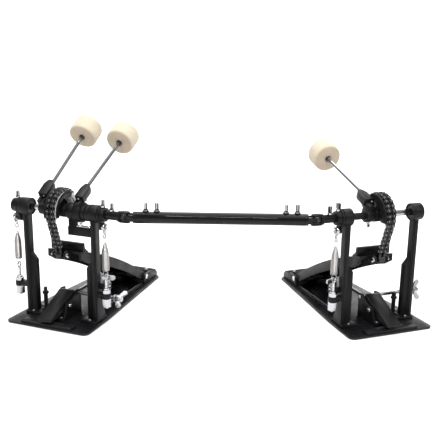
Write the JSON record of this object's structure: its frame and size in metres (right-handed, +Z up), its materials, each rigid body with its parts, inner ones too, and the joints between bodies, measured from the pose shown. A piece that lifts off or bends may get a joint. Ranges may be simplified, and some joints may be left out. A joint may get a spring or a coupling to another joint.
{
  "type": "bass drum pedal",
  "caption": "Chain-driven double bass drum pedal: a main and an auxiliary pedal joined by a telescoping shaft with universal joints; felt beaters, base plates, return springs.",
  "frame": {"origin": "middle of the pair's bounding box, on the floor under the base plates", "axes": "+X along the link shaft towards the auxiliary pedal, +Y away from the drum towards the heels, +Z up"},
  "size_m": [0.6896, 0.3244, 0.3206],
  "materials": {
    "black": "satin black powder coat",
    "gloss_black": "gloss black",
    "chain_steel": "blackened steel chain",
    "chrome": "polished chrome",
    "spring_steel": "bright drawn wire",
    "felt": "hard pressed cream felt",
    "rubber_pad": "black bracket with a rubber pad"
  },
  "bodies": {
    "main_frame": {"main_base_plate": "black", "main_heel_plate": "black", "main_post_left": "black", "main_post_right": "black", "main_bearings": "chrome", "main_hinge_pin": "chrome", "main_screws": "chrome", "main_hoop_bracket": "rubber_pad"},
    "main_board": {"main_footboard": "black", "main_toe_stop": "black"},
    "main_cam_axle": {"main_axle": "chrome", "main_cam": "black", "main_chain_wound": "chain_steel", "main_beater_clamp": "black", "main_rocker": "black"},
    "main_beater": {"main_beater_rod": "chrome", "main_beater_felt": "felt"},
    "main_upper_links": {"main_chain_upper": "chain_steel"},
    "main_middle_links": {"main_chain_middle": "chain_steel"},
    "main_run_links": {"main_chain_run": "chain_steel"},
    "main_spring_body": {"main_spring": "spring_steel"},
    "main_spring_end": {"main_spring_link": "chrome"},
    "main_jaw": {"main_hoop_jaw": "black"},
    "main_clamp_screw": {"main_hoop_screw": "chrome"},
    "aux_frame": {"aux_base_plate": "black", "aux_heel_plate": "black", "aux_post_left": "black", "aux_post_right": "black", "aux_bearings": "chrome", "aux_hinge_pin": "chrome", "aux_screws": "chrome", "aux_hoop_bracket": "rubber_pad"},
    "aux_board": {"aux_footboard": "black", "aux_toe_stop": "black"},
    "aux_cam_axle": {"aux_axle": "chrome", "aux_cam": "black", "aux_chain_wound": "chain_steel", "aux_beater_clamp": "black", "aux_rocker": "black"},
    "aux_beater": {"aux_beater_rod": "chrome", "aux_beater_felt": "felt"},
    "aux_upper_links": {"aux_chain_upper": "chain_steel"},
    "aux_middle_links": {"aux_chain_middle": "chain_steel"},
    "aux_run_links": {"aux_chain_run": "chain_steel"},
    "aux_spring_body": {"aux_spring": "spring_steel"},
    "aux_spring_end": {"aux_spring_link": "chrome"},
    "aux_jaw": {"aux_hoop_jaw": "black"},
    "aux_clamp_screw": {"aux_hoop_screw": "chrome"},
    "second_cam": {"second_hub": "black", "second_beater_clamp": "black", "second_rocker": "black"},
    "second_beater": {"second_beater_rod": "chrome", "second_beater_felt": "felt"},
    "second_spring_body": {"second_spring": "spring_steel"},
    "second_spring_end": {"second_spring_link": "chrome"},
    "link_outer": {"link_tube": "gloss_black", "link_fork_main": "gloss_black"},
    "link_inner": {"link_fork_aux": "gloss_black"},
    "main_cross": {"link_cross_main": "gloss_black"},
    "aux_cross": {"link_cross_aux": "gloss_black"}
  },
  "joints": [
    {"name": "link_length", "type": "slide", "parent": "main_frame", "child": "aux_frame", "axis": [1, 0, 0], "range_m": [0, 0.06]},
    {"name": "main_footboard_hinge", "type": "hinge", "parent": "main_frame", "child": "main_board", "pos_m": [-0.17997, 0.09619, 0.016], "axis": [0.9336, -0.3584, 0], "range_deg": [0, 9], "stiffness_Nm_per_rad": 14, "springref_deg": -6.88},
    {"name": "main_cam_spin", "type": "hinge", "parent": "main_frame", "child": "main_cam_axle", "pos_m": [-0.252, -0.09146, 0.1843], "axis": [0.9336, -0.3584, 0], "range_deg": [0, 54.12]},
    {"name": "main_upper_links_bend", "type": "hinge", "parent": "main_cam_axle", "child": "main_upper_links", "pos_m": [-0.25955, -0.11113, 0.2097], "axis": [0.9336, -0.3584, 0], "range_deg": [-16.8, 0]},
    {"name": "main_middle_links_bend", "type": "hinge", "parent": "main_upper_links", "child": "main_middle_links", "pos_m": [-0.2637, -0.12192, 0.18921], "axis": [0.9336, -0.3584, 0], "range_deg": [-33.88, 0]},
    {"name": "main_run_links_bend", "type": "hinge", "parent": "main_middle_links", "child": "main_run_links", "pos_m": [-0.26316, -0.12054, 0.17339], "axis": [0.9336, -0.3584, 0], "range_deg": [-18.13, 0]},
    {"name": "main_spring_tilt", "type": "hinge", "parent": "main_frame", "child": "main_spring_body", "pos_m": [-0.33415, -0.05992, 0.0825], "axis": [0.9336, -0.3584, 0], "range_deg": [-11.3, 0]},
    {"name": "main_spring_stretch", "type": "slide", "parent": "main_spring_body", "child": "main_spring_end", "axis": [0, 0, 1], "range_m": [-0.0005, 0.00855], "deforming": ["main_spring"]},
    {"name": "main_rod_height", "type": "slide", "parent": "main_cam_axle", "child": "main_beater", "axis": [0.2971, 0.774, 0.5592], "range_m": [-0.02, 0.008]},
    {"name": "main_jaw_pivot", "type": "hinge", "parent": "main_frame", "child": "main_jaw", "pos_m": [-0.25343, -0.09519, 0.025], "axis": [0.9336, -0.3584, 0], "range_deg": [-7, 0]},
    {"name": "main_clamp_screw_turn", "type": "hinge", "parent": "main_frame", "child": "main_clamp_screw", "pos_m": [-0.24286, -0.06765, 0.038], "axis": [0.9336, -0.3584, 0], "continuous": true},
    {"name": "aux_footboard_hinge", "type": "hinge", "parent": "aux_frame", "child": "aux_board", "pos_m": [0.17997, 0.09619, 0.016], "axis": [0.9336, 0.3584, 0], "range_deg": [0, 9], "stiffness_Nm_per_rad": 14, "springref_deg": -6.88},
    {"name": "aux_cam_spin", "type": "hinge", "parent": "aux_frame", "child": "aux_cam_axle", "pos_m": [0.252, -0.09146, 0.1843], "axis": [0.9336, 0.3584, 0], "range_deg": [0, 54.12]},
    {"name": "aux_upper_links_bend", "type": "hinge", "parent": "aux_cam_axle", "child": "aux_upper_links", "pos_m": [0.25955, -0.11113, 0.2097], "axis": [0.9336, 0.3584, 0], "range_deg": [-16.8, 0]},
    {"name": "aux_middle_links_bend", "type": "hinge", "parent": "aux_upper_links", "child": "aux_middle_links", "pos_m": [0.2637, -0.12192, 0.18921], "axis": [0.9336, 0.3584, 0], "range_deg": [-33.88, 0]},
    {"name": "aux_run_links_bend", "type": "hinge", "parent": "aux_middle_links", "child": "aux_run_links", "pos_m": [0.26316, -0.12054, 0.17339], "axis": [0.9336, 0.3584, 0], "range_deg": [-18.13, 0]},
    {"name": "aux_spring_tilt", "type": "hinge", "parent": "aux_frame", "child": "aux_spring_body", "pos_m": [0.18058, -0.11887, 0.0825], "axis": [0.9336, 0.3584, 0], "range_deg": [-11.3, 0]},
    {"name": "aux_spring_stretch", "type": "slide", "parent": "aux_spring_body", "child": "aux_spring_end", "axis": [0, 0, 1], "range_m": [-0.0005, 0.00855], "deforming": ["aux_spring"]},
    {"name": "aux_rod_height", "type": "slide", "parent": "aux_cam_axle", "child": "aux_beater", "axis": [-0.3427, 0.8928, 0.2924], "range_m": [-0.02, 0.008]},
    {"name": "aux_jaw_pivot", "type": "hinge", "parent": "aux_frame", "child": "aux_jaw", "pos_m": [0.25343, -0.09519, 0.025], "axis": [0.9336, 0.3584, 0], "range_deg": [-7, 0]},
    {"name": "aux_clamp_screw_turn", "type": "hinge", "parent": "aux_frame", "child": "aux_clamp_screw", "pos_m": [0.24286, -0.06765, 0.038], "axis": [0.9336, 0.3584, 0], "continuous": true},
    {"name": "second_cam_spin", "type": "hinge", "parent": "main_frame", "child": "second_cam", "pos_m": [-0.252, -0.09146, 0.1843], "axis": [0.9336, -0.3584, 0], "range_deg": [0, 54.12]},
    {"name": "second_rod_height", "type": "slide", "parent": "second_cam", "child": "second_beater", "axis": [0.3164, 0.8243, 0.4695], "range_m": [-0.02, 0.008]},
    {"name": "second_spring_tilt", "type": "hinge", "parent": "main_frame", "child": "second_spring_body", "pos_m": [-0.18058, -0.11887, 0.0825], "axis": [0.9336, -0.3584, 0], "range_deg": [-11.3, 0]},
    {"name": "second_spring_stretch", "type": "slide", "parent": "second_spring_body", "child": "second_spring_end", "axis": [0, 0, 1], "range_m": [-0.0005, 0.00855], "deforming": ["second_spring"]},
    {"name": "link_tube_spin", "type": "hinge", "parent": "main_frame", "child": "link_outer", "pos_m": [-0.14342, -0.13314, 0.1843], "axis": [1, 0, 0], "range_deg": [0, 51.83]},
    {"name": "link_shaft_spin", "type": "hinge", "parent": "aux_frame", "child": "link_inner", "pos_m": [0.14342, -0.13314, 0.1843], "axis": [1, 0, 0], "range_deg": [0, 51.83]},
    {"name": "main_cross_tilt", "type": "hinge", "parent": "link_outer", "child": "main_cross", "pos_m": [-0.14342, -0.13314, 0.1843], "axis": [0, 1, 0], "range_deg": [-17.88, 0]},
    {"name": "aux_cross_tilt", "type": "hinge", "parent": "link_inner", "child": "aux_cross", "pos_m": [0.14342, -0.13314, 0.1843], "axis": [0, 1, 0], "range_deg": [0, 17.88]}
  ],
  "couplings": [
    {"joint": "main_cam_spin", "follows": "main_footboard_hinge", "ratio": 5.958},
    {"joint": "main_upper_links_bend", "follows": "main_footboard_hinge", "ratio": -1.811},
    {"joint": "main_middle_links_bend", "follows": "main_footboard_hinge", "ratio": -3.709},
    {"joint": "main_run_links_bend", "follows": "main_footboard_hinge", "ratio": -1.959},
    {"joint": "main_spring_tilt", "follows": "main_footboard_hinge", "ratio": -1.2},
    {"joint": "main_spring_stretch", "follows": "main_footboard_hinge", "m_per_rad": 0.05124},
    {"joint": "aux_cam_spin", "follows": "aux_footboard_hinge", "ratio": 5.958},
    {"joint": "aux_upper_links_bend", "follows": "aux_footboard_hinge", "ratio": -1.811},
    {"joint": "aux_middle_links_bend", "follows": "aux_footboard_hinge", "ratio": -3.709},
    {"joint": "aux_run_links_bend", "follows": "aux_footboard_hinge", "ratio": -1.959},
    {"joint": "aux_spring_tilt", "follows": "aux_footboard_hinge", "ratio": -1.2},
    {"joint": "aux_spring_stretch", "follows": "aux_footboard_hinge", "m_per_rad": 0.05124},
    {"joint": "second_cam_spin", "follows": "aux_footboard_hinge", "ratio": 5.958},
    {"joint": "second_spring_tilt", "follows": "aux_footboard_hinge", "ratio": -1.2},
    {"joint": "second_spring_stretch", "follows": "aux_footboard_hinge", "m_per_rad": 0.05124},
    {"joint": "link_tube_spin", "follows": "aux_footboard_hinge", "ratio": 5.703},
    {"joint": "link_shaft_spin", "follows": "aux_footboard_hinge", "ratio": 5.703},
    {"joint": "main_cross_tilt", "follows": "aux_footboard_hinge", "ratio": -1.931},
    {"joint": "aux_cross_tilt", "follows": "aux_footboard_hinge", "ratio": 1.931}
  ]
}
